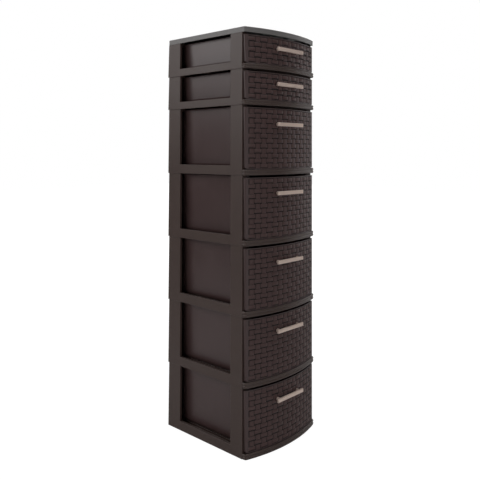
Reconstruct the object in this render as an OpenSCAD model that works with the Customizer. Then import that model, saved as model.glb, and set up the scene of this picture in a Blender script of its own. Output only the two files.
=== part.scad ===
// Drawer tower of seven stacked moulded tiers, two shallow and five deep.
// Each tier is a frame that carries one slide-out drawer with a bowed, woven front and a bar handle.
// A cover closes the top. The front faces -Y, and the origin is the middle of the foot's outline box.

/* [Tower] */
// Width across the foot of each frame
tower_w = 322; // [310:1:340]
// Depth of the straight sides, from the back to the front corners
side_depth = 333; // [320:1:360]
// How far the middle of the front bows out past its corners
front_bow = 27; // [20:1:32]
// Number of shallow tiers, counted from the top
shallow_tiers = 2; // [0:1:7]
// Height of a shallow tier
shallow_pitch = 102.5; // [95:0.5:130]
// Height of a deep tier
deep_pitch = 200; // [150:1:240]

/* [Frames] */
// Height of the side rails of a shallow tier
shallow_side_rail = 22; // [20:0.5:28]
// Height of the side rails of a deep tier
deep_side_rail = 27.5; // [22:0.5:35]
// Height of the bowed front rail of a shallow tier
shallow_front_rail = 14; // [13:0.5:17]
// Height of the bowed front rail of a deep tier
deep_front_rail = 16; // [14:0.5:20]
// Thickness of the frame walls
frame_wall = 2.8; // [2.2:0.1:3.4]
// How far each frame's walls lean in between its foot and its top
frame_lean = 2; // [1:0.25:3]
// Depth of the rear posts, seen from the side
rear_post = 55.5; // [45:0.5:70]
// Depth of the front posts, seen from the side
front_post = 46; // [38:1:60]
// How far the front corners of the rail stand out past the front posts
rail_reach = 12; // [11:0.5:14]
// Radius of the front corners, seen from above
corner_r = 8; // [6:0.5:9]
// Thickness of the front rail behind its two beads
rail_wall = 4.4; // [3.6:0.2:5]
// Depth of the groove between the two beads of the front rail
bead_groove = 1.4; // [0.8:0.1:1.8]
// Width of the lip round each side opening
lip_w = 8; // [5:0.5:12]

/* [Cover] */
// Height of the cover's rim
cover_h = 15; // [13:0.5:20]
// How far the cover's outline stays inside the foot of a frame
cover_inset = 1; // [0:0.25:1.5]
// Radius of the cover's upper edge
cover_edge_r = 2; // [1:0.25:2.5]
// Depth of the shallow tray on top of the cover
tray_depth = 1.2; // [0.5:0.1:1.8]

/* [Drawers] */
// Thickness of the drawer walls
drawer_wall = 2.5; // [2:0.1:3]
// Gap from the back of the tower to the back of a drawer
drawer_rear_gap = 32; // [26:1:40]
// Gap between a drawer's rim and the front posts, on each side
drawer_side_gap = 1.5; // [1:0.1:2]
// Radius of a drawer's lower edges and rear corners
drawer_edge_r = 18; // [12:0.5:20]
// How far a drawer's sides and back draw in towards its floor
drawer_draft = 3; // [1:0.25:4]
// How far a drawer's rim stays below the tier above
rim_drop = 3; // [2:0.5:5]
// How far a drawer slides out
drawer_travel = 240; // [200:5:250]
// How far the front of a drawer stays behind the beads of the front rail
front_setback = 4; // [3:0.25:4.5]
// How far the sides of a drawer front draw in towards its lower edge
front_draft = 2; // [1:0.25:3]
// Gap between a drawer front and the tier above
front_top_gap = 7; // [5:0.5:7.5]

/* [Woven field] */
// Number of woven columns across a drawer front
weave_columns = 14; // [10:2:16]
// Nominal height of one woven row
weave_row = 14.2; // [12:0.1:18]
// Width of the smooth border beside the woven field
border_w = 7.5; // [6.5:0.25:10]
// How far the strands stand up from the floor of the field
weave_relief = 0.8; // [0.5:0.1:1]

/* [Handles] */
// Length of the handle bar
handle_l = 115; // [108:1:124]
// Height of the handle bar
handle_h = 11; // [10:0.5:13]
// Depth of the handle bar, from front to back
handle_depth = 8; // [7:0.5:9]
// Distance between the two legs of a handle
handle_span = 90; // [70:1:94]
// Distance from the drawer front to the middle of the bar
handle_reach = 11; // [10:0.5:14]
// Distance from the top of a shallow drawer front down to its handle
shallow_handle_drop = 33; // [25:0.5:45]
// Distance from the top of a deep drawer front down to its handle
deep_handle_drop = 46.5; // [25:0.5:70]

/* [Hidden] */

// Fineness of small curves, and of the long bow of the front
$fn = 64;
bow_fn = 360;

// Cutters and hidden joints run past what they meet by this much
past = 1;

// Rounds stand this much proud of the faces that they ease, so both meet along a clean edge
ease = 0.1;

// Bends are this much slimmer than the straight runs beside them, and run on into those by lap degrees
seam = 0.12;
lap = 5;

frame_colour = [0.22, 0.20, 0.19];
drawer_colour = [0.20, 0.17, 0.16];
cover_colour = [0.28, 0.27, 0.27];
handle_colour = [0.78, 0.74, 0.69];

// Tiers are numbered from the top. Within a tier, z is 0 at the foot of its frame.
tiers = 7;
function is_shallow(tier) = tier <= shallow_tiers;
function pitch(tier) = is_shallow(tier) ? shallow_pitch : deep_pitch;
function side_rail(tier) = is_shallow(tier) ? shallow_side_rail : deep_side_rail;
function front_rail(tier) = is_shallow(tier) ? shallow_front_rail : deep_front_rail;
function handle_drop(tier) = is_shallow(tier) ? shallow_handle_drop : deep_handle_drop;
function foot_z(tier) = tier >= tiers ? 0 : foot_z(tier + 1) + pitch(tier + 1);

// Plan: y is 0 at the back of the tower and falls towards the front. All fronts bow about one centre.
half_w = tower_w / 2;
bow_r = (pow(half_w, 2) + pow(front_bow, 2)) / (2 * front_bow);
bow_y = bow_r - side_depth - front_bow;
post_front_y = -(side_depth - rail_reach);
function bow_at(r, x) = bow_y - sqrt(pow(r, 2) - pow(x, 2));

// Openings in the side walls run between the posts, and each edge has a lip
opening_rear_y = -rear_post;
opening_front_y = post_front_y + front_post;
post_face_w = 21.5;
way_x = half_w - post_face_w;
lip_wall = 2.5;

// Radii of the two beads of the front rail, as shares of its height
low_bead = 0.27;
high_bead = 0.22;

// The returns of the front rail stay behind the sides of the posts by this much
rail_side_set = 0.5;

// The back panel is let in between the rear posts
rear_post_w = 54;
back_x = half_w - rear_post_w;
back_head = 12;
back_set = 5;
back_wall = 2.2;

// Deck that carries a drawer, with its runners, guide fins and underside ribs
deck_inset = 2;
deck_wall = 2.5;
runner_h = 3;
runner_w = 4;
runner_x = 104;
fin_x = 127.5;
fin_w = 2.5;
fin_h = 4;
rib_w = 3;
rib_x = 70;
slide_gap = 0.3;
function deck_z(tier) = front_rail(tier) - runner_h;

// Tenons on the posts enter sockets in the tier above
tenon_w = 11;
tenon_d = 24;
tenon_h = 7;
tenon_gap = 0.3;
socket_wall = 2;
pad_wall = 2.5;
pad_in = 12;
pad_x = half_w - pad_in;
front_pad_y = post_front_y + front_post / 2;
rear_pad_y = -rear_post / 2;

// Cover
cover_wall = 3;
cover_corner_r = 5;
cover_set = 2;
cover_front_inset = 3 * cover_inset;

// Drawer tub
rim_w = 2;
rim_wall = 2.5;
tub_x = way_x - drawer_side_gap - rim_w;
tub_front_y = -(side_depth + front_bow);
function tub_foot_z(tier) = front_rail(tier) + slide_gap;
function rim_z(tier) = pitch(tier) - rim_drop;

// Drawer front
front_r = bow_r - front_setback;
front_wall = 2.8;
front_corner_r = 8;
front_foot_r = 6;
front_side_gap = 2.5;
front_x = half_w - frame_lean - front_side_gap;
front_foot_gap = 1.5;
front_rear_y = post_front_y - front_foot_gap;
function front_foot_z(tier) = front_rail(tier) + front_foot_gap;
function front_top_z(tier) = pitch(tier) - front_top_gap;

// Over the front the walls of the tub step down to just below its top
shoulder_drop = 0.5;

// Stops: the back of a drawer meets tabs that hang from the tier above
tab_x = 90;
tab_w = 16;
tab_wall = 3;
tab_h = 8;
stop_gap = 1;
tab_y = -(drawer_rear_gap + drawer_wall + drawer_travel + stop_gap);

// Woven field: its arc across the front, its rows and its columns
field_arc = 2 * asin((front_x - front_draft - border_w) / front_r);
column_arc = field_arc / weave_columns;
field_margin = 2.5;
strand_fill = 0.88;
strand_run = 0.6;
function field_z(tier) = front_foot_z(tier) + field_margin;
function field_h(tier) = front_top_z(tier) - front_foot_z(tier) - 2 * field_margin;
function weave_rows(tier) = round(field_h(tier) / weave_row);
function row_h(tier) = field_h(tier) / weave_rows(tier);

// Handle: a bar with eased edges and ends, and legs with snap pegs that pass through the front
bar_edge_r = 3;
bar_end_r = 2;
leg_r = 5;
seat_r = 7.5;
seat_rise = 0.6;
seat_gap = 0.1;
peg_r = 3;
peg_gap = 0.15;
barb_r = 3.8;
barb_l = 3;
leg_x = handle_span / 2;
bar_y = bow_at(front_r, 0) - handle_reach;
function handle_z(tier) = front_top_z(tier) - handle_drop(tier);

// The origin is the middle of the whole outline, handles included
total_depth = side_depth + front_bow - front_setback + handle_reach + handle_depth / 2;

module at_tier(tier) {
    translate([0, total_depth / 2, foot_z(tier)]) children();
}

module both_sides() {
    children();
    mirror([1, 0, 0]) children();
}

// Box between its lowest and highest corners
module box(low, high) {
    translate(low) cube(high - low);
}

// Outlines stood upright: drawn as seen from the front and run forwards, or as seen from the side
module run_forward(length) {
    rotate([90, 0, 0]) linear_extrude(length) children();
}

module run_across(width) {
    rotate([90, 0, 90]) translate([0, 0, -width / 2]) linear_extrude(width) children();
}

// What a round of radius r leaves of a square corner that points to +x and -y
module spandrel(r) {
    difference() {
        translate([0, -r - past]) square(r + past);
        circle(r + ease);
    }
}

// Outline drawn as seen from above: straight sides and back, round front corners, bowed front
module plan(half, bow, corner, back_y) {
    corner_x = half - corner;
    corner_y = bow_at(bow - corner, corner_x);
    turn = asin(corner_x / (bow - corner));
    reach = 2 * corner + past;
    difference() {
        intersection() {
            translate([-half, -2 * side_depth]) square([2 * half, 2 * side_depth + back_y]);
            translate([0, bow_y]) circle(bow, $fn = bow_fn);
        }
        both_sides() translate([corner_x, corner_y]) difference() {
            polygon([[0, 0], [reach, 0], [reach, -reach], [reach * sin(turn), -reach * cos(turn)]]);
            circle(corner + ease);
        }
    }
}

// Runs a section round the same outline: the bow in children(0), then both front corners in
// children(1), which is slimmer by seam, and the sides back to side_y in children(0).
// In the section, x is 0 on the outline and falls inwards.
module run_round_front(half, bow, corner, side_y) {
    corner_x = half - corner;
    corner_y = bow_at(bow - corner, corner_x);
    turn = asin(corner_x / (bow - corner));
    translate([0, bow_y]) rotate(-90 - turn) rotate_extrude(angle = 2 * turn, $fn = bow_fn)
        translate([bow, 0]) children(0);
    both_sides() {
        translate([corner_x, corner_y]) rotate(turn - 90 - lap) rotate_extrude(angle = 90 - turn + 2 * lap)
            translate([corner, 0]) children(1);
        translate([half, side_y]) run_forward(side_y - corner_y) children(0);
    }
}

// Runs a section along the back and its two corners
module run_round_back(half, corner, back_y) {
    translate([0, back_y]) run_across(2 * (half - corner)) children();
    both_sides() translate([half - corner, back_y - corner]) rotate_extrude(angle = 90)
        translate([corner, 0]) children();
}

// ---- Frames ----

// Block inside the outline of the posts, drawn in by inset. Its sides and back lean in towards its top,
// and it runs past the tier's foot and top by over.
module frame_block(tier, inset, over = 0) {
    low = -over;
    high = pitch(tier) + over;
    low_in = inset + frame_lean * low / pitch(tier);
    high_in = inset + frame_lean * high / pitch(tier);
    front_y = post_front_y + inset;
    intersection() {
        translate([0, past, 0]) run_forward(side_depth) polygon([
            [low_in - half_w, low], [half_w - low_in, low], [half_w - high_in, high], [high_in - half_w, high]
        ]);
        run_across(tower_w + 2 * past) polygon([
            [front_y, low], [-low_in, low], [-high_in, high], [front_y, high]
        ]);
    }
}

// The side openings, the opening that the back panel fills, and the drawer's way out, grown by grow
module frame_openings(tier, grow) {
    top = pitch(tier) + past;
    foot = side_rail(tier) - grow;
    box([-half_w - past, opening_front_y - grow, foot], [half_w + past, opening_rear_y + grow, top]);
    box([-back_x - grow, -lip_w - past, foot], [back_x + grow, past, pitch(tier) - back_head + grow]);
    box([-way_x - grow, post_front_y - past, deck_z(tier)], [way_x + grow, post_front_y + lip_w + past, top]);
}

// Thin walls of the posts and rails, or with a greater depth the space that the lips may fill
module frame_walls(tier, depth) {
    difference() {
        frame_block(tier, 0);
        frame_block(tier, depth, past);
    }
}

module post_walls(tier) {
    difference() {
        frame_walls(tier, frame_wall);
        frame_openings(tier, 0);
    }
}

module opening_lips(tier) {
    intersection() {
        frame_walls(tier, lip_w);
        difference() {
            frame_openings(tier, lip_wall);
            frame_openings(tier, 0);
        }
    }
}

module back_panel(tier) {
    box([-back_x - past, -back_set - back_wall, side_rail(tier) - past],
        [back_x + past, -back_set, pitch(tier) - back_head + past]);
}

// Section of the front rail, drawn in by inset: two beads with a groove between them
module rail_section(h, inset) {
    low_r = low_bead * h;
    high_r = high_bead * h;
    back = inset - rail_wall;
    intersection() {
        translate([back, inset]) square([-back, h - 2 * inset]);
        union() {
            translate([back, inset]) square([-back - bead_groove - inset, h - 2 * inset]);
            translate([-low_r, low_r]) circle(low_r - inset);
            translate([-high_r, h - high_r]) circle(high_r - inset);
        }
    }
}

// Floor between the rails, with the runners that carry the drawer, fins that guide it and ribs below
module deck(tier) {
    top = deck_z(tier);
    buried = top - deck_wall / 2;
    translate([0, 0, top - deck_wall]) linear_extrude(deck_wall)
        plan(half_w - deck_inset, bow_r - deck_inset, corner_r - deck_inset, -deck_inset);
    both_sides() {
        box([runner_x, post_front_y, buried], [runner_x + runner_w, -drawer_rear_gap, front_rail(tier)]);
        box([fin_x, post_front_y, buried], [fin_x + fin_w, -drawer_rear_gap, front_rail(tier) + fin_h]);
    }
    for (x = [-rib_x, 0, rib_x])
        box([x - rib_w / 2, post_front_y + past, 0], [x + rib_w / 2, -past, buried]);
    box([past - half_w, (post_front_y - rib_w) / 2, 0], [half_w - past, (post_front_y + rib_w) / 2, buried]);
}

module at_posts() {
    both_sides() {
        translate([pad_x, front_pad_y]) children();
        translate([pad_x, rear_pad_y]) children();
    }
}

module tenon_section(grow) {
    square([tenon_w + 2 * grow, tenon_d + 2 * grow], center = true);
}

// Plates that close a post at its foot or its top
module post_plates(tier, z) {
    intersection() {
        frame_block(tier, frame_wall / 2);
        translate([0, 0, z]) linear_extrude(pad_wall) both_sides() {
            translate([way_x, post_front_y]) square([post_face_w, front_post]);
            translate([way_x, -rear_post]) square([post_face_w, rear_post]);
        }
    }
}

module tenons(tier) {
    translate([0, 0, pitch(tier) - past]) linear_extrude(tenon_h + past) at_posts() tenon_section(0);
}

module sockets(h) {
    linear_extrude(h) at_posts() tenon_section(tenon_gap + socket_wall);
}

module socket_holes(h) {
    translate([0, 0, -past]) linear_extrude(h + past) at_posts() tenon_section(tenon_gap);
}

// Tabs that hang below a tier or the cover and stop the drawer beneath it
module stop_tabs(top) {
    both_sides()
        box([tab_x - tab_w / 2, tab_y - tab_wall, -tab_h], [tab_x + tab_w / 2, tab_y, top]);
}

module tier_frame(tier) {
    socket_top = deck_z(tier) - deck_wall;
    color(frame_colour) at_tier(tier) {
        difference() {
            union() {
                post_walls(tier);
                opening_lips(tier);
                back_panel(tier);
                run_round_front(half_w - rail_side_set, bow_r, corner_r, post_front_y + frame_wall / 2) {
                    rail_section(front_rail(tier), 0);
                    rail_section(front_rail(tier), seam);
                }
                deck(tier);
                post_plates(tier, 0);
                post_plates(tier, pitch(tier) - pad_wall);
                sockets(socket_top + past);
                tenons(tier);
                if (tier < tiers) stop_tabs(socket_top + past);
            }
            socket_holes(socket_top);
        }
    }
}

// ---- Cover ----

// Section of the cover's rim, drawn in by inset, with its outer upper edge rounded
module cover_section(inset) {
    h = cover_h - inset;
    difference() {
        translate([inset - cover_wall, inset]) square([cover_wall - 2 * inset, h - inset]);
        translate([-cover_edge_r, cover_h - cover_edge_r]) mirror([0, 1]) spandrel(cover_edge_r - inset);
    }
}

module top_cover() {
    half = half_w - cover_inset;
    bow = bow_r - cover_front_inset;
    back_y = -cover_inset;
    tray_z = cover_h - tray_depth;
    socket_top = tray_z - frame_wall;
    color(cover_colour) at_tier(0) difference() {
        union() {
            run_round_front(half, bow, cover_corner_r, back_y - cover_corner_r) {
                cover_section(0);
                cover_section(seam);
            }
            run_round_back(half, cover_corner_r, back_y) cover_section(0);
            translate([0, 0, socket_top]) linear_extrude(frame_wall)
                plan(half - cover_set, bow - cover_set, cover_corner_r - cover_set, back_y - cover_set);
            sockets(socket_top + past);
            stop_tabs(socket_top + past);
        }
        socket_holes(socket_top);
    }
}

// ---- Drawers ----

// Outline with its sides drawn in by draft towards its foot and its lower corners rounded
module drafted_outline(half, draft, low, high, r, over = 0) {
    slope = draft / (high - low);
    round_x = half - draft + slope * r - r * sqrt(1 + pow(slope, 2));
    difference() {
        polygon([
            [draft - half, low], [half - draft, low],
            [half + slope * over, high + over], [-half - slope * over, high + over]
        ]);
        both_sides() translate([round_x, low + r]) spandrel(r);
    }
}

// Outside of the tub, or with an inset its inside, which runs past the rim by over
module tub_block(tier, inset, over = 0) {
    half = tub_x - inset;
    r = drawer_edge_r - inset;
    low = tub_foot_z(tier) + inset;
    high = rim_z(tier);
    rear_y = -drawer_rear_gap - inset;
    slope = drawer_draft / (high - low);
    round_y = rear_y - drawer_draft + slope * r - r * sqrt(1 + pow(slope, 2));
    difference() {
        intersection() {
            run_forward(-tub_front_y) drafted_outline(half, drawer_draft, low, high, r, over);
            run_across(2 * half_w) difference() {
                polygon([
                    [tub_front_y, low], [rear_y - drawer_draft, low],
                    [rear_y + slope * over, high + over], [tub_front_y, high + over]
                ]);
                translate([round_y, low + r]) spandrel(r);
            }
            translate([0, bow_y, 0])
                cylinder(h = high + 2 * over + past, r = front_r - (front_wall + inset) / 2, $fn = bow_fn);
        }
        both_sides() translate([half - r, rear_y - r, 0]) linear_extrude(high + 2 * over + past)
            mirror([0, 1]) spandrel(r);
    }
}

module tub_plan(half, rear_y, r) {
    difference() {
        translate([-half, tub_front_y]) square([2 * half, rear_y - tub_front_y]);
        both_sides() translate([half - r, rear_y - r]) mirror([0, 1]) spandrel(r);
    }
}

// Rim round the tub's sides and back
module tub_rim(tier) {
    intersection() {
        translate([0, 0, rim_z(tier) - rim_wall]) linear_extrude(rim_wall)
            tub_plan(tub_x + rim_w, rim_w - drawer_rear_gap, drawer_edge_r + rim_w);
        translate([0, bow_y, 0]) cylinder(h = pitch(tier), r = front_r - front_wall / 2, $fn = bow_fn);
    }
}

// Space above the front that the tub's walls and rim stay out of
module front_shoulder(tier) {
    box([-half_w, tub_front_y, front_top_z(tier) - shoulder_drop], [half_w, front_rear_y + past, pitch(tier)]);
}

// Hollow front, open towards the posts
module front_shell(tier) {
    low = front_foot_z(tier);
    high = front_top_z(tier);
    difference() {
        front_block(0, low, high, front_foot_r, front_rear_y);
        front_block(front_wall, low + front_wall, high - front_wall, front_foot_r - front_wall, front_rear_y + past);
    }
}

module front_block(inset, low, high, foot_r, rear_y) {
    intersection() {
        run_forward(2 * side_depth) drafted_outline(front_x - inset, front_draft, low, high, foot_r);
        linear_extrude(high + past)
            plan(front_x - inset + ease, front_r - inset, front_corner_r - inset, rear_y);
    }
}

// Ring section run along the woven field from one arc to another, measured from its left end
module run_along_field(from, arc) {
    translate([0, bow_y]) rotate(-90 - field_arc / 2 + from) rotate_extrude(angle = arc, $fn = bow_fn)
        translate([front_r - weave_relief, 0]) children();
}

// One raised strand, flat where it joins the floor of the field
module strand_section(tier) {
    chord = row_h(tier) * strand_fill;
    r = (pow(chord / 2, 2) + pow(weave_relief, 2)) / (2 * weave_relief);
    intersection() {
        translate([weave_relief - r, 0]) circle(r, $fn = bow_fn);
        translate([-weave_relief / 2, -chord]) square([2 * weave_relief, 2 * chord]);
    }
}

// Strands pass over every second column, and the rows take turns
module raised_strands(tier) {
    for (row = [0 : weave_rows(tier) - 1])
        for (column = [row % 2 : 2 : weave_columns - 1])
            translate([0, 0, field_z(tier) + (row + 0.5) * row_h(tier)])
                run_along_field((column + (1 - strand_run) / 2) * column_arc, strand_run * column_arc)
                    strand_section(tier);
}

// Smooth round seats for the legs of the handle
module handle_seats(tier, r, inner) {
    both_sides() intersection() {
        translate([leg_x, 0, handle_z(tier)]) run_forward(2 * side_depth) circle(r);
        translate([0, bow_y, 0]) difference() {
            cylinder(h = pitch(tier), r = front_r + seat_rise, $fn = bow_fn);
            translate([0, 0, -past]) cylinder(h = pitch(tier) + 2 * past, r = inner, $fn = bow_fn);
        }
    }
}

module drawer(tier) {
    color(drawer_colour) at_tier(tier) difference() {
        union() {
            difference() {
                union() {
                    front_shell(tier);
                    difference() {
                        union() {
                            tub_block(tier, 0);
                            tub_rim(tier);
                        }
                        front_shoulder(tier);
                    }
                }
                tub_block(tier, drawer_wall, rim_drop);
                run_along_field(0, field_arc)
                    translate([0, field_z(tier)]) square([2 * weave_relief, field_h(tier)]);
            }
            raised_strands(tier);
            handle_seats(tier, seat_r, front_r - front_wall / 2);
        }
        both_sides() translate([leg_x, -side_depth / 2, handle_z(tier)])
            run_forward(side_depth) circle(peg_r + peg_gap);
    }
}

// ---- Handles ----

// Section of the bar, with its four edges eased
module bar_section() {
    edge_x = handle_depth / 2 - bar_edge_r;
    edge_y = handle_h / 2 - bar_edge_r;
    difference() {
        square([handle_depth, handle_h], center = true);
        both_sides() {
            translate([edge_x, -edge_y]) spandrel(bar_edge_r);
            translate([edge_x, edge_y]) mirror([0, 1]) spandrel(bar_edge_r);
        }
    }
}

module handle_bar() {
    end_x = handle_l / 2 - bar_end_r;
    end_y = handle_depth / 2 - bar_end_r;
    translate([0, bar_y, 0]) difference() {
        run_across(handle_l) bar_section();
        both_sides() translate([end_x, 0, -handle_h]) linear_extrude(2 * handle_h) {
            translate([0, -end_y]) spandrel(bar_end_r);
            translate([0, end_y]) mirror([0, 1]) spandrel(bar_end_r);
        }
    }
}

// Leg that starts inside the bar, with its foot cut to the bow of its seat
module handle_leg(face_y) {
    difference() {
        translate([leg_x, face_y + past, 0]) run_forward(face_y + past - bar_y) circle(leg_r);
        translate([0, bow_y, -handle_h])
            cylinder(h = 2 * handle_h, r = front_r + seat_rise + seat_gap, $fn = bow_fn);
    }
}

// Peg that starts inside the leg, and its barb behind the drawer front
module handle_peg(end_y) {
    root_y = end_y - barb_l / 2;
    translate([leg_x, root_y, 0]) run_forward(root_y - bar_y - handle_depth) circle(peg_r);
    translate([leg_x, end_y, 0]) rotate([90, 0, 0]) cylinder(h = barb_l, r1 = peg_r - peg_gap, r2 = barb_r);
}

module handle(tier) {
    face_y = bow_at(front_r, leg_x);
    color(handle_colour) at_tier(tier) translate([0, 0, handle_z(tier)]) {
        handle_bar();
        both_sides() {
            handle_leg(face_y);
            handle_peg(face_y + front_wall + barb_l + 2 * seat_gap);
        }
    }
}

top_cover();
tier_frame(1);  // tier_frame_1
tier_frame(2);  // tier_frame_2
tier_frame(3);  // tier_frame_3
tier_frame(4);  // tier_frame_4
tier_frame(5);  // tier_frame_5
tier_frame(6);  // tier_frame_6
tier_frame(7);  // tier_frame_7
drawer(1);  // drawer_1
drawer(2);  // drawer_2
drawer(3);  // drawer_3
drawer(4);  // drawer_4
drawer(5);  // drawer_5
drawer(6);  // drawer_6
drawer(7);  // drawer_7
handle(1);  // handle_1
handle(2);  // handle_2
handle(3);  // handle_3
handle(4);  // handle_4
handle(5);  // handle_5
handle(6);  // handle_6
handle(7);  // handle_7
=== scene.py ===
import math

import bmesh
import bpy
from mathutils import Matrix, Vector


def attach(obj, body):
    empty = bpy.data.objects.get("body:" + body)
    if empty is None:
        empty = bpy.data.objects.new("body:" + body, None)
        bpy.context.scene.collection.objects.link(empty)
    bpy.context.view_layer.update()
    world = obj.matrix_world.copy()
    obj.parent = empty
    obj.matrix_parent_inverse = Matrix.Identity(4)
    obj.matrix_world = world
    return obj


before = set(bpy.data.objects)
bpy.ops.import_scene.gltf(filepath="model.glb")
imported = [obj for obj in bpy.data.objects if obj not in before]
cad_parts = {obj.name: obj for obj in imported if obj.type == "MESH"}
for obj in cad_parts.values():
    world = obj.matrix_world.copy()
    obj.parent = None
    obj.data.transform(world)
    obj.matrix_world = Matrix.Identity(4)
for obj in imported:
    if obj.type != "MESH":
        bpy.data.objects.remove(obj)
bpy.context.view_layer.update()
scene = bpy.context.scene


# ------------------------------------------------------------ sizes, in metres, as in the CAD

TIERS = 7
SHALLOW_TIERS = 2
PITCH = {"shallow": 0.1025, "deep": 0.200}
FRONT_RAIL = {"shallow": 0.014, "deep": 0.016}

HALF_WIDTH = 0.161
SIDE_DEPTH = 0.333
FRONT_BOW = 0.027
FRAME_LEAN = 0.002
RAIL_REACH = 0.012
FRONT_SETBACK = 0.004
HANDLE_REACH = 0.011
HANDLE_HALF_DEPTH = 0.004
TOTAL_DEPTH = SIDE_DEPTH + FRONT_BOW - FRONT_SETBACK + HANDLE_REACH + HANDLE_HALF_DEPTH

# The rails and the drawer fronts are bowed round one upright axis, at X = 0 and Y = BOW_Y.
BOW_R = (HALF_WIDTH ** 2 + FRONT_BOW ** 2) / (2 * FRONT_BOW)
FRONT_R = BOW_R - FRONT_SETBACK
BOW_Y = BOW_R - SIDE_DEPTH - FRONT_BOW + TOTAL_DEPTH / 2

FRONT_SIDE_GAP = 0.0025
FRONT_FOOT_GAP = 0.0015
FRONT_TOP_GAP = 0.007
FRONT_DRAFT = 0.002
FRONT_HALF = HALF_WIDTH - FRAME_LEAN - FRONT_SIDE_GAP
BORDER = 0.0075
FIELD_MARGIN = 0.0025

WEAVE_COLUMNS = 14
WEAVE_ROW = 0.0142
WEAVE_RELIEF = 0.0008
FIELD_ARC = 2 * math.asin((FRONT_HALF - FRONT_DRAFT - BORDER) / FRONT_R)
COLUMN_PITCH = FIELD_ARC / WEAVE_COLUMNS * FRONT_R


def depth_of(tier):
    return "shallow" if tier <= SHALLOW_TIERS else "deep"


def foot_z(tier):
    return sum(PITCH[depth_of(below)] for below in range(tier + 1, TIERS + 1))


# ------------------------------------------------------------ shader building blocks

def new_group(name, inputs, outputs):
    """A shader node group with named float, colour or vector sockets."""
    group = bpy.data.node_groups.new(name, "ShaderNodeTree")
    for label, kind, value in inputs:
        socket = group.interface.new_socket(label, in_out="INPUT", socket_type=kind)
        socket.default_value = value
    for label, kind in outputs:
        group.interface.new_socket(label, in_out="OUTPUT", socket_type=kind)
    return group, group.nodes.new("NodeGroupInput"), group.nodes.new("NodeGroupOutput")


def maths(tree, operation, a, b=None, c=None, clamp=False):
    """A Math node on numbers or sockets, in a shader or a geometry tree."""
    node = tree.nodes.new("ShaderNodeMath")
    node.operation = operation
    node.use_clamp = clamp
    for socket, value in zip(node.inputs, (a, b, c)):
        if isinstance(value, (int, float)):
            socket.default_value = value
        elif value is not None:
            tree.links.new(value, socket)
    return node.outputs[0]


def noise(tree, vector, scale, detail, roughness):
    node = tree.nodes.new("ShaderNodeTexNoise")
    node.inputs["Detail"].default_value = detail
    node.inputs["Roughness"].default_value = roughness
    tree.links.new(vector, node.inputs["Vector"])
    if isinstance(scale, (int, float)):
        node.inputs["Scale"].default_value = scale
    else:
        tree.links.new(scale, node.inputs["Scale"])
    return node.outputs["Fac"]


def mix_colour(tree, factor, a, b):
    node = tree.nodes.new("ShaderNodeMix")
    node.data_type = "RGBA"
    for socket, value in zip((node.inputs[0], node.inputs[6], node.inputs[7]), (factor, a, b)):
        if isinstance(value, tuple):
            socket.default_value = (*value, 1.0)
        else:
            tree.links.new(value, socket)
    return node.outputs[2]


def add_group(tree, group, vector, **values):
    """The group placed in a material, with its own values for the inputs that are named."""
    node = tree.nodes.new("ShaderNodeGroup")
    node.node_tree = group
    tree.links.new(vector, node.inputs["Vector"])
    for name, value in values.items():
        node.inputs[name.replace("_", " ").title()].default_value = value
    return node


def make_grain_group():
    """Spark-eroded mould grain: a fine pebble with a slow waviness of the wall under it."""
    group, gin, gout = new_group(
        "mould_grain",
        [("Vector", "NodeSocketVector", (0, 0, 0)),
         ("Grain Scale", "NodeSocketFloat", 1500.0),
         ("Wall Scale", "NodeSocketFloat", 14.0),
         ("Wall Share", "NodeSocketFloat", 0.5)],
        [("Height", "NodeSocketFloat")])
    position = gin.outputs["Vector"]
    fine = noise(group, position, gin.outputs["Grain Scale"], detail=2.0, roughness=0.6)
    slow = noise(group, position, gin.outputs["Wall Scale"], detail=2.0, roughness=0.4)
    height = maths(group, "MULTIPLY_ADD", slow, gin.outputs["Wall Share"], fine)
    group.links.new(height, gout.inputs["Height"])
    return group


def make_mottle_group():
    """Slow cloudiness of colour and gloss, as filled plastic has, with faint flow streaks."""
    group, gin, gout = new_group(
        "plastic_mottle",
        [("Vector", "NodeSocketVector", (0, 0, 0)),
         ("Scale", "NodeSocketFloat", 9.0),
         ("Streaks", "NodeSocketFloat", 0.35)],
        [("Value", "NodeSocketFloat")])
    cloud = noise(group, gin.outputs["Vector"], gin.outputs["Scale"], detail=4.0, roughness=0.55)
    flow = group.nodes.new("ShaderNodeMapping")
    flow.inputs["Scale"].default_value = (7.0, 7.0, 1.2)
    group.links.new(gin.outputs["Vector"], flow.inputs["Vector"])
    streak = noise(group, flow.outputs["Vector"], gin.outputs["Scale"], detail=2.0, roughness=0.5)
    centred = maths(group, "SUBTRACT", streak, 0.5)
    value = maths(group, "MULTIPLY_ADD", centred, gin.outputs["Streaks"], cloud, clamp=True)
    group.links.new(value, gout.inputs["Value"])
    return group


def make_edge_group():
    """Mask of edges painted paler, partly as real wear and partly as a painted highlight along the
    rims: it rises where the rounded normal turns away from the face's own.
    """
    group, gin, gout = new_group(
        "edge_wear_and_highlight",
        [("Vector", "NodeSocketVector", (0, 0, 0)),
         ("Rounded Normal", "NodeSocketVector", (0, 0, 1)),
         ("Width", "NodeSocketFloat", 5.0),
         ("Patch Scale", "NodeSocketFloat", 60.0)],
        [("Mask", "NodeSocketFloat")])
    geometry = group.nodes.new("ShaderNodeNewGeometry")
    dot = group.nodes.new("ShaderNodeVectorMath")
    dot.operation = "DOT_PRODUCT"
    group.links.new(gin.outputs["Rounded Normal"], dot.inputs[0])
    group.links.new(geometry.outputs["Normal"], dot.inputs[1])
    turned = maths(group, "SUBTRACT", 1.0, dot.outputs["Value"], clamp=True)
    edge = maths(group, "MULTIPLY", turned, gin.outputs["Width"], clamp=True)
    patches = noise(group, gin.outputs["Vector"], gin.outputs["Patch Scale"],
                    detail=4.0, roughness=0.65)
    wear_and_highlight = maths(group, "MULTIPLY", edge, patches, clamp=True)
    group.links.new(wear_and_highlight, gout.inputs["Mask"])
    return group


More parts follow.
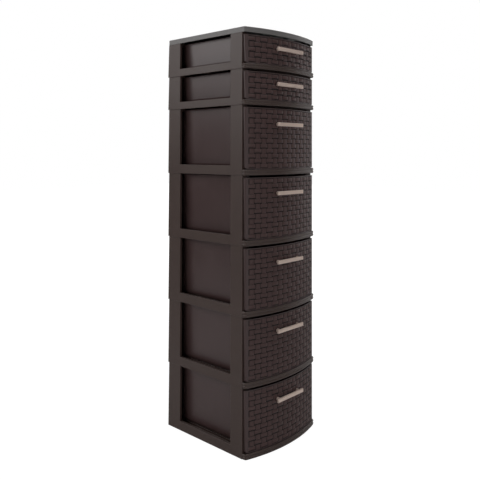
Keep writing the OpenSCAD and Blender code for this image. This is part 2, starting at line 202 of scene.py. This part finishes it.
def make_dust_group():
    """Mask of the thin dust that settles on faces that look up."""
    group, gin, gout = new_group(
        "settled_dust",
        [("Vector", "NodeSocketVector", (0, 0, 0)),
         ("Amount", "NodeSocketFloat", 0.12),
         ("Patch Scale", "NodeSocketFloat", 22.0)],
        [("Mask", "NodeSocketFloat")])
    geometry = group.nodes.new("ShaderNodeNewGeometry")
    split = group.nodes.new("ShaderNodeSeparateXYZ")
    group.links.new(geometry.outputs["Normal"], split.inputs[0])
    up = maths(group, "POWER", maths(group, "MAXIMUM", split.outputs["Z"], 0.0), 3.0)
    cloud = noise(group, gin.outputs["Vector"], gin.outputs["Patch Scale"],
                  detail=5.0, roughness=0.6)
    patchy = maths(group, "MULTIPLY", up, cloud)
    settled = maths(group, "MULTIPLY", patchy, gin.outputs["Amount"], clamp=True)
    group.links.new(settled, gout.inputs["Mask"])
    return group


def make_drawer_zones_group():
    """Masks for the tub of a drawer and for the sunk floor of its woven field, where the pits
    between the strands get painted shade.
    """
    group, gin, gout = new_group(
        "drawer_zones",
        [("Vector", "NodeSocketVector", (0, 0, 0)),
         ("Tub Start", "NodeSocketFloat", 0.0),
         ("Bow Centre", "NodeSocketFloat", 0.0),
         ("Low Radius", "NodeSocketFloat", 0.4),
         ("High Radius", "NodeSocketFloat", 0.5),
         ("Half Width", "NodeSocketFloat", 0.1)],
        [("Tub", "NodeSocketFloat"), ("Field", "NodeSocketFloat")])
    split = group.nodes.new("ShaderNodeSeparateXYZ")
    group.links.new(gin.outputs["Vector"], split.inputs[0])
    x, y = split.outputs["X"], split.outputs["Y"]
    tub = maths(group, "GREATER_THAN", y, gin.outputs["Tub Start"])
    along = maths(group, "SUBTRACT", y, gin.outputs["Bow Centre"])
    radius = maths(group, "SQRT",
                   maths(group, "MULTIPLY_ADD", along, along, maths(group, "MULTIPLY", x, x)))
    below_top = maths(group, "LESS_THAN", radius, gin.outputs["High Radius"])
    above_back = maths(group, "GREATER_THAN", radius, gin.outputs["Low Radius"])
    inside = maths(group, "LESS_THAN", maths(group, "ABSOLUTE", x), gin.outputs["Half Width"])
    field = maths(group, "MULTIPLY", maths(group, "MULTIPLY", below_top, above_back), inside)
    group.links.new(tub, gout.inputs["Tub"])
    group.links.new(field, gout.inputs["Field"])
    return group


GRAIN = make_grain_group()
MOTTLE = make_mottle_group()
EDGES = make_edge_group()
DUST = make_dust_group()
ZONES = make_drawer_zones_group()


# ------------------------------------------------------------ moulded plastics

GRAIN_DEPTH = 0.00012
BEVEL_SAMPLES = 4
DUST_COLOUR = (0.36, 0.34, 0.32)
# Near black painted into the sunk floor between the strands: painted shade in the pits of the
# weave.
PIT_PAINTED_SHADE = (0.014, 0.009, 0.009)
PLASTIC_IOR = 1.5
COAT_ROUGHNESS = 0.18

# How much each mask adds to the roughness
PIT_ROUGHER = 0.4
DUST_ROUGHER = 0.5
WORN_ROUGHER = -0.08

# A strand carries fine reeds along its length, and fibres stretched the same way.
REEDS = 3
REED_HEIGHT = 1.1
FIBRE_HEIGHT = 1.2
FIBRE_STRETCH = (2.0, 26.0, 1.0)

# The tub's own gloss starts a little ahead of the rear edge of the drawer's front.
TUB_LAP = 0.0015
TUB_START_Y = TOTAL_DEPTH / 2 - SIDE_DEPTH + RAIL_REACH - TUB_LAP


def strand_relief(tree, grain_height):
    """The mould grain with the reeds and fibres of a strand added, from its own UV map."""
    uv = tree.nodes.new("ShaderNodeUVMap")
    uv.uv_map = "strand"
    split = tree.nodes.new("ShaderNodeSeparateXYZ")
    tree.links.new(uv.outputs["UV"], split.inputs[0])
    turns = maths(tree, "MULTIPLY", split.outputs["Y"], 2 * math.pi * REEDS)
    stretch = tree.nodes.new("ShaderNodeMapping")
    stretch.inputs["Scale"].default_value = FIBRE_STRETCH
    tree.links.new(uv.outputs["UV"], stretch.inputs["Vector"])
    fibres = noise(tree, stretch.outputs["Vector"], 3.0, detail=3.0, roughness=0.6)
    reeded = maths(tree, "MULTIPLY_ADD", maths(tree, "SINE", turns), REED_HEIGHT, grain_height)
    return maths(tree, "MULTIPLY_ADD", fibres, FIBRE_HEIGHT, reeded)


def moulded_plastic(name, dark, light, wear_and_highlight, roughness, specular, edge_radius=0.0007,
                    wear_and_highlight_width=5.0, grain=0.35, dust=0.12, roughness_spread=0.12,
                    metal=0.0, coat=0.0, tub_roughness=None, reeds=False):
    """Moulded plastic: mottled colour, grained surface, softened edges painted paler as wear and as
    a painted highlight, thin dust, and for drawers painted shade in the pits of the woven field.
    """
    material = bpy.data.materials.new(name)
    material.use_nodes = True
    tree = material.node_tree
    shader = tree.nodes["Principled BSDF"]
    position = tree.nodes.new("ShaderNodeTexCoord").outputs["Object"]

    bevel = tree.nodes.new("ShaderNodeBevel")
    bevel.samples = BEVEL_SAMPLES
    bevel.inputs["Radius"].default_value = edge_radius
    edge_wear_and_highlight = add_group(tree, EDGES, position, width=wear_and_highlight_width)
    tree.links.new(bevel.outputs["Normal"], edge_wear_and_highlight.inputs["Rounded Normal"])
    mottle = add_group(tree, MOTTLE, position).outputs["Value"]
    edges = edge_wear_and_highlight.outputs["Mask"]
    dusty = add_group(tree, DUST, position, amount=dust).outputs["Mask"]

    colour = mix_colour(tree, mottle, dark, light)
    # Edges painted paler: partly wear, partly a painted highlight that stands in for the bright
    # lines of light along rims and lips.
    colour = mix_colour(tree, edges, colour, wear_and_highlight)
    colour = mix_colour(tree, dusty, colour, DUST_COLOUR)
    rough = maths(tree, "MULTIPLY_ADD", mottle, roughness_spread, roughness - roughness_spread / 2)
    if tub_roughness is not None:
        zones = add_group(tree, ZONES, position, tub_start=TUB_START_Y, bow_centre=BOW_Y,
                          low_radius=FRONT_R - WEAVE_RELIEF * 1.5,
                          high_radius=FRONT_R - WEAVE_RELIEF / 2,
                          half_width=FRONT_HALF - BORDER)
        tub, field = zones.outputs["Tub"], zones.outputs["Field"]
        # Painted shade: the sunk floor of the woven field is coloured near black where shade falls
        # between the strands.
        colour = mix_colour(tree, field, colour, PIT_PAINTED_SHADE)
        rough = maths(tree, "MULTIPLY_ADD", tub, tub_roughness - roughness, rough)
        rough = maths(tree, "MULTIPLY_ADD", field, PIT_ROUGHER, rough)
    rough = maths(tree, "MULTIPLY_ADD", dusty, DUST_ROUGHER, rough)
    rough = maths(tree, "MULTIPLY_ADD", edges, WORN_ROUGHER, rough, clamp=True)
    tree.links.new(colour, shader.inputs["Base Color"])
    tree.links.new(rough, shader.inputs["Roughness"])

    height = add_group(tree, GRAIN, position).outputs["Height"]
    if reeds:
        height = strand_relief(tree, height)
    bump = tree.nodes.new("ShaderNodeBump")
    bump.inputs["Strength"].default_value = grain
    bump.inputs["Distance"].default_value = GRAIN_DEPTH
    tree.links.new(height, bump.inputs["Height"])
    tree.links.new(bevel.outputs["Normal"], bump.inputs["Normal"])
    tree.links.new(bump.outputs["Normal"], shader.inputs["Normal"])

    shader.inputs["Specular IOR Level"].default_value = specular
    shader.inputs["IOR"].default_value = PLASTIC_IOR
    shader.inputs["Metallic"].default_value = metal
    if coat:
        shader.inputs["Coat Weight"].default_value = coat
        shader.inputs["Coat Roughness"].default_value = COAT_ROUGHNESS
    return material


# The worn edge colours below are partly wear and partly a painted highlight along the edges.
FRAME_PLASTIC = moulded_plastic(
    "espresso_frame_plastic",
    dark=(0.040, 0.0235, 0.0190), light=(0.053, 0.0320, 0.0265), wear_and_highlight=(0.125, 0.098, 0.088),
    roughness=0.47, specular=0.38, edge_radius=0.0013, wear_and_highlight_width=7.0)
DRAWER_PLASTIC = moulded_plastic(
    "espresso_drawer_plastic",
    dark=(0.046, 0.0255, 0.0245), light=(0.060, 0.0355, 0.0345), wear_and_highlight=(0.110, 0.082, 0.077),
    roughness=0.50, specular=0.4, tub_roughness=0.34)
STRAND_PLASTIC = moulded_plastic(
    "espresso_strand_plastic",
    dark=(0.048, 0.0225, 0.0210), light=(0.068, 0.0350, 0.0325), wear_and_highlight=(0.090, 0.057, 0.053),
    roughness=0.52, specular=0.35, grain=0.8, reeds=True)
COVER_PLASTIC = moulded_plastic(
    "grey_brown_cover_plastic",
    dark=(0.120, 0.113, 0.111), light=(0.160, 0.152, 0.149), wear_and_highlight=(0.36, 0.35, 0.34),
    roughness=0.52, specular=0.45, edge_radius=0.0022, wear_and_highlight_width=8.0)
HANDLE_FINISH = moulded_plastic(
    "champagne_handle_finish",
    dark=(0.66, 0.515, 0.445), light=(0.75, 0.595, 0.515), wear_and_highlight=(0.78, 0.65, 0.575),
    roughness=0.42, specular=0.6, edge_radius=0.005, wear_and_highlight_width=1.0, grain=0.12, dust=0.02,
    roughness_spread=0.06, metal=0.5, coat=0.1)


# ------------------------------------------------------------ finish of the CAD nodes

NODE_FINISHES = {
    "top_cover": COVER_PLASTIC,
    "tier_frame": FRAME_PLASTIC,
    "drawer": DRAWER_PLASTIC,
    "handle": HANDLE_FINISH,
}

for node_name, node_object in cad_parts.items():
    kind = next(kind for kind in NODE_FINISHES if node_name.startswith(kind))
    node_object.data.materials.clear()
    node_object.data.materials.append(NODE_FINISHES[kind])


# ------------------------------------------------------------ woven drawer fronts

# How a strand dives under its neighbours: a long flat crown with quick rounded ends
DIVE_POWER = 2.6
DIVE_ROUND = 0.8
PAD_ROOT = 0.0003
UV_LENGTH = 0.01
SIZE_PLAY = 0.02

ACROSS_PAD = dict(half_length=0.575 * COLUMN_PITCH, half_width=0.0052, height=0.0021,
                  steps_along=10, steps_across=8, upright=False, drop=0.0)
UPRIGHT_PAD = dict(half_length=0.0070, half_width=0.345 * COLUMN_PITCH, height=0.0009,
                   steps_along=8, steps_across=8, upright=True, drop=0.0011)


def strand_pad(name, half_length, half_width, height, steps_along, steps_across, upright, drop):
    """One place where a strand comes to the surface: a closed pillow that dives at both ends.

    It is drawn on the XZ plane with its top towards -Y and its flat back PAD_ROOT deep, and
    it hangs by drop below the middle of its cell."""
    mesh = bpy.data.meshes.new(name)
    bm = bmesh.new()
    uv_layer = bm.loops.layers.uv.new("strand")

    def eased(step, steps):
        """From -1 to 1, with the steps closer together at both ends."""
        return math.sin(math.pi / 2 * (2 * step / steps - 1))

    def top_vertex(a, b):
        along, across = a * half_length, b * half_width
        x, z = (across, along) if upright else (along, across)
        dive = (1 - abs(a) ** DIVE_POWER) ** DIVE_ROUND
        lift = height * dive * math.sqrt(max(1 - b * b, 0.0))
        return bm.verts.new((x, -lift, z - drop)), (a, b)

    def face(corners, smooth):
        made = bm.faces.new([vert for vert, _ in corners])
        made.smooth = smooth
        for loop, (_, (a, b)) in zip(made.loops, corners):
            loop[uv_layer].uv = (a * half_length / UV_LENGTH, (b + 1) / 2)

    top = [[top_vertex(eased(i, steps_along), eased(j, steps_across))
            for j in range(steps_across + 1)] for i in range(steps_along + 1)]
    for i in range(steps_along):
        for j in range(steps_across):
            face([top[i][j], top[i + 1][j], top[i + 1][j + 1], top[i][j + 1]], True)

    rim = [row[0] for row in top]
    rim += top[-1][1:]
    rim += [row[-1] for row in reversed(top[:-1])]
    rim += reversed(top[0][1:-1])
    back = [(bm.verts.new(vert.co + Vector((0, PAD_ROOT, 0))), uv) for vert, uv in rim]
    for k in range(len(rim)):
        n = (k + 1) % len(rim)
        face([rim[n], rim[k], back[k], back[n]], False)
    face(list(reversed(back)), False)
    bmesh.ops.recalc_face_normals(bm, faces=bm.faces)
    bm.to_mesh(mesh)
    bm.free()
    mesh.materials.append(STRAND_PLASTIC)
    return bpy.data.objects.new(name, mesh)


def weave_tree():
    """Geometry nodes that lay the pads of a plain weave over the bowed front of a drawer."""
    tree = bpy.data.node_groups.new("bowed_weave", "GeometryNodeTree")
    face = tree.interface
    face.new_socket("Geometry", in_out="INPUT", socket_type="NodeSocketGeometry")
    for label, kind in (("Columns", "Int"), ("Rows", "Int"), ("Seed", "Int"),
                        ("Column Angle", "Float"), ("Row Height", "Float"),
                        ("Field Foot", "Float"), ("Radius", "Float"), ("Bow Centre", "Float"),
                        ("Play", "Float"), ("Across Pad", "Object"),
                        ("Upright Pad", "Object"), ("Finish", "Material")):
        face.new_socket(label, in_out="INPUT", socket_type="NodeSocket" + kind)
    face.new_socket("Geometry", in_out="OUTPUT", socket_type="NodeSocketGeometry")
    gin, gout = tree.nodes.new("NodeGroupInput"), tree.nodes.new("NodeGroupOutput")
    link = tree.links.new

    # One point for each cell, counted row by row
    points = tree.nodes.new("GeometryNodePoints")
    link(maths(tree, "MULTIPLY", gin.outputs["Columns"], gin.outputs["Rows"]),
         points.inputs["Count"])
    index = tree.nodes.new("GeometryNodeInputIndex").outputs[0]
    row = maths(tree, "FLOOR", maths(tree, "DIVIDE", index, gin.outputs["Columns"]))
    column = maths(tree, "SUBTRACT", index, maths(tree, "MULTIPLY", row, gin.outputs["Columns"]))

    # Its place on the bow, and the turn that faces it outwards
    last = maths(tree, "SUBTRACT", gin.outputs["Columns"], 1.0)
    off_middle = maths(tree, "SUBTRACT", column, maths(tree, "MULTIPLY", last, 0.5))
    angle = maths(tree, "MULTIPLY", off_middle, gin.outputs["Column Angle"])
    x = maths(tree, "MULTIPLY", maths(tree, "SINE", angle), gin.outputs["Radius"])
    reach = maths(tree, "MULTIPLY", maths(tree, "COSINE", angle), gin.outputs["Radius"])
    y = maths(tree, "SUBTRACT", gin.outputs["Bow Centre"], reach)
    z = maths(tree, "MULTIPLY_ADD", maths(tree, "ADD", row, 0.5), gin.outputs["Row Height"],
              gin.outputs["Field Foot"])
    position = tree.nodes.new("ShaderNodeCombineXYZ")
    for socket, value in zip(position.inputs, (x, y, z)):
        link(value, socket)
    link(position.outputs[0], points.inputs["Position"])
    turn = tree.nodes.new("ShaderNodeCombineXYZ")
    link(angle, turn.inputs["Z"])

    # Each pad is a little larger or smaller than drawn
    size = tree.nodes.new("FunctionNodeRandomValue")
    size.data_type = "FLOAT_VECTOR"
    limits = [socket for socket in size.inputs if socket.type == "VECTOR"]
    for operation, limit in zip(("SUBTRACT", "ADD"), limits):
        same = tree.nodes.new("ShaderNodeCombineXYZ")
        for socket in same.inputs:
            link(maths(tree, operation, 1.0, gin.outputs["Play"]), socket)
        link(same.outputs[0], limit)
    link(gin.outputs["Seed"], size.inputs["Seed"])

    # Pads lie across and upright by turns, along the rows and the columns
    pads = tree.nodes.new("GeometryNodeGeometryToInstance")
    for label in ("Upright Pad", "Across Pad"):
        info = tree.nodes.new("GeometryNodeObjectInfo")
        link(gin.outputs[label], info.inputs["Object"])
        link(info.outputs["Geometry"], pads.inputs["Geometry"])
    pick = maths(tree, "MODULO", maths(tree, "ADD", row, column), 2.0)
    instance = tree.nodes.new("GeometryNodeInstanceOnPoints")
    instance.inputs["Pick Instance"].default_value = True
    link(points.outputs[0], instance.inputs["Points"])
    link(pads.outputs[0], instance.inputs["Instance"])
    link(pick, instance.inputs["Instance Index"])
    link(turn.outputs[0], instance.inputs["Rotation"])
    link(size.outputs["Value"], instance.inputs["Scale"])

    real = tree.nodes.new("GeometryNodeRealizeInstances")
    finished = tree.nodes.new("GeometryNodeSetMaterial")
    link(instance.outputs[0], real.inputs[0])
    link(real.outputs[0], finished.inputs["Geometry"])
    link(gin.outputs["Finish"], finished.inputs["Material"])
    link(finished.outputs[0], gout.inputs[0])
    return tree


def plain_mesh(obj, name):
    """The evaluated object as a plain mesh object of its own, in its place."""
    bpy.context.view_layer.update()
    graph = bpy.context.evaluated_depsgraph_get()
    mesh = bpy.data.meshes.new_from_object(obj.evaluated_get(graph), depsgraph=graph)
    made = bpy.data.objects.new(name, mesh)
    mesh.name = name
    scene.collection.objects.link(made)
    bpy.data.objects.remove(obj)
    return made


def woven_front(tree, tier, across_pad, upright_pad):
    depth = depth_of(tier)
    field_foot = foot_z(tier) + FRONT_RAIL[depth] + FRONT_FOOT_GAP + FIELD_MARGIN
    field_height = foot_z(tier) + PITCH[depth] - FRONT_TOP_GAP - FIELD_MARGIN - field_foot
    rows = round(field_height / WEAVE_ROW)
    values = {
        "Columns": WEAVE_COLUMNS, "Rows": rows, "Seed": tier,
        "Column Angle": FIELD_ARC / WEAVE_COLUMNS, "Row Height": field_height / rows,
        "Field Foot": field_foot, "Radius": FRONT_R - WEAVE_RELIEF, "Bow Centre": BOW_Y,
        "Play": SIZE_PLAY, "Across Pad": across_pad, "Upright Pad": upright_pad,
        "Finish": STRAND_PLASTIC,
    }
    carrier = bpy.data.objects.new("weave_carrier", bpy.data.meshes.new("weave_carrier"))
    scene.collection.objects.link(carrier)
    modifier = carrier.modifiers.new("weave", "NODES")
    modifier.node_group = tree
    for socket in tree.interface.items_tree:
        if socket.in_out == "INPUT" and socket.name in values:
            modifier[socket.identifier] = values[socket.name]
    made = plain_mesh(carrier, f"woven_strands_{tier}")
    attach(made, f"drawer_{tier}")


across_pad = strand_pad("pad_across", **ACROSS_PAD)
upright_pad = strand_pad("pad_upright", **UPRIGHT_PAD)
weave = weave_tree()
for tier in range(1, TIERS + 1):
    woven_front(weave, tier, across_pad, upright_pad)
for pad in (across_pad, upright_pad):
    bpy.data.objects.remove(pad)


# ------------------------------------------------------------ floor and room

WHITE = (1.0, 1.0, 1.0, 1.0)
WHITE_IN_REFLECTIONS = 0.04
ROOM_LIGHT = 0.03

FLOOR_HALF = 12
FLOOR_DARK = (0.80, 0.80, 0.80)
FLOOR_LIGHT = (0.84, 0.84, 0.84)
FLOOR_ROUGHNESS = 0.6
FLOOR_WHITE_STRENGTH = 1.18
FLOOR_WHITENESS = 0.8
FLOOR_FADE_START = 0.8
FLOOR_FADE_END = 2.6


def white_share(tree, seen):
    """How far plain white stands in for the real light of the floor or the room.

    That is the share seen for what the camera sees, straight or through something, and a
    little in reflections."""
    path = tree.nodes.new("ShaderNodeLightPath")
    straight = maths(tree, "ADD", path.outputs["Is Camera Ray"],
                     path.outputs["Is Transmission Ray"], clamp=True)
    mirrored = maths(tree, "MULTIPLY", path.outputs["Is Glossy Ray"], WHITE_IN_REFLECTIONS)
    return maths(tree, "MULTIPLY_ADD", straight, seen, mirrored)


def mix_shaders(tree, factor, first, second, surface):
    mix = tree.nodes.new("ShaderNodeMixShader")
    for socket, value in zip(mix.inputs, (factor, first.outputs[0], second.outputs[0])):
        tree.links.new(value, socket)
    tree.links.new(mix.outputs[0], surface)


def floor_material():
    """Pale floor: near the tower it keeps part of the shade that falls on it, and further out
    it turns as white as the room."""
    material = bpy.data.materials.new("pale_floor")
    material.use_nodes = True
    tree = material.node_tree
    shader = tree.nodes["Principled BSDF"]
    position = tree.nodes.new("ShaderNodeTexCoord").outputs["Object"]
    cloud = noise(tree, position, 3.0, detail=3.0, roughness=0.5)
    tree.links.new(mix_colour(tree, cloud, FLOOR_DARK, FLOOR_LIGHT), shader.inputs["Base Color"])
    shader.inputs["Roughness"].default_value = FLOOR_ROUGHNESS
    white = tree.nodes.new("ShaderNodeEmission")
    white.inputs["Strength"].default_value = FLOOR_WHITE_STRENGTH

    distance = tree.nodes.new("ShaderNodeVectorMath")
    distance.operation = "LENGTH"
    tree.links.new(position, distance.inputs[0])
    fade = 1 / (FLOOR_FADE_END - FLOOR_FADE_START)
    far = maths(tree, "MULTIPLY_ADD", distance.outputs["Value"], fade, -FLOOR_FADE_START * fade,
                clamp=True)
    whiteness = maths(tree, "MULTIPLY_ADD", far, 1 - FLOOR_WHITENESS, FLOOR_WHITENESS)
    mix_shaders(tree, white_share(tree, whiteness), shader, white,
                tree.nodes["Material Output"].inputs["Surface"])
    return material


def make_floor():
    mesh = bpy.data.meshes.new("floor")
    corners = [(x * FLOOR_HALF, y * FLOOR_HALF, 0) for x, y in ((-1, -1), (1, -1), (1, 1), (-1, 1))]
    mesh.from_pydata(corners, [], [(0, 1, 2, 3)])
    mesh.materials.append(floor_material())
    floor = bpy.data.objects.new("floor", mesh)
    scene.collection.objects.link(floor)


def make_room():
    """A dim white room that is plain white where the camera sees it."""
    world = bpy.data.worlds.new("pale_room")
    scene.world = world
    world.use_nodes = True
    tree = world.node_tree
    tree.nodes.clear()
    backgrounds = []
    for strength in (ROOM_LIGHT, 1.0):
        background = tree.nodes.new("ShaderNodeBackground")
        background.inputs["Color"].default_value = WHITE
        background.inputs["Strength"].default_value = strength
        backgrounds.append(background)
    output = tree.nodes.new("ShaderNodeOutputWorld")
    mix_shaders(tree, white_share(tree, 1.0), *backgrounds, output.inputs["Surface"])


make_floor()
make_room()


# ------------------------------------------------------------ studio light and camera

# Each softbox: where it hangs, the point it faces, its width and height, and its watts
SOFTBOXES = {
    "rear_left_softbox": ((-2.0, 1.75, 2.0), (0.0, 0.0, 0.9), (1.4, 1.4), 27.5),
    "left_softbox": ((-2.6, 0.4, 1.3), (0.0, 0.0, 0.6), (1.2, 1.6), 16.5),
    "front_softbox": ((-0.5, -2.8, 1.2), (0.0, 0.0, 0.6), (1.2, 1.6), 14.0),
    "right_softbox": ((2.7, -0.6, 1.1), (0.0, 0.0, 0.6), (0.9, 1.7), 13.0),
    "top_softbox": ((0.0, -0.6, 3.0), (0.0, 0.0, 0.6), (1.6, 1.6), 26.5),
    "low_front_softbox": ((-0.2, -2.6, 0.25), (0.0, 0.0, 0.5), (1.6, 0.4), 3.0),
    "rear_right_softbox": ((2.2, 1.8, 1.5), (0.0, 0.0, 0.6), (1.2, 1.6), 22.0),
}

SENSOR_WIDTH = 36.0
LENS = 45.68
CAMERA_SHIFT_Y = -0.181
CAMERA_PLACE = (-1.4101, -1.3111, 0.8628)
CAMERA_HEADING = math.radians(-46.56)


def softbox(name, place, aim, size, watts):
    lamp = bpy.data.lights.new(name, "AREA")
    lamp.shape = "RECTANGLE"
    lamp.size, lamp.size_y = size
    lamp.energy = watts
    holder = bpy.data.objects.new(name, lamp)
    holder.location = place
    holder.rotation_mode = "QUATERNION"
    holder.rotation_quaternion = (Vector(aim) - Vector(place)).to_track_quat("-Z", "Y")
    scene.collection.objects.link(holder)


for lamp_name, lamp_values in SOFTBOXES.items():
    softbox(lamp_name, *lamp_values)

scene.view_settings.view_transform = "Standard"

camera_data = bpy.data.cameras.new("camera")
camera_data.sensor_width = SENSOR_WIDTH
camera_data.lens = LENS
camera_data.shift_y = CAMERA_SHIFT_Y
camera = bpy.data.objects.new("camera", camera_data)
camera.location = CAMERA_PLACE
camera.rotation_euler = (math.radians(90.0), 0.0, CAMERA_HEADING)
scene.collection.objects.link(camera)
scene.camera = camera
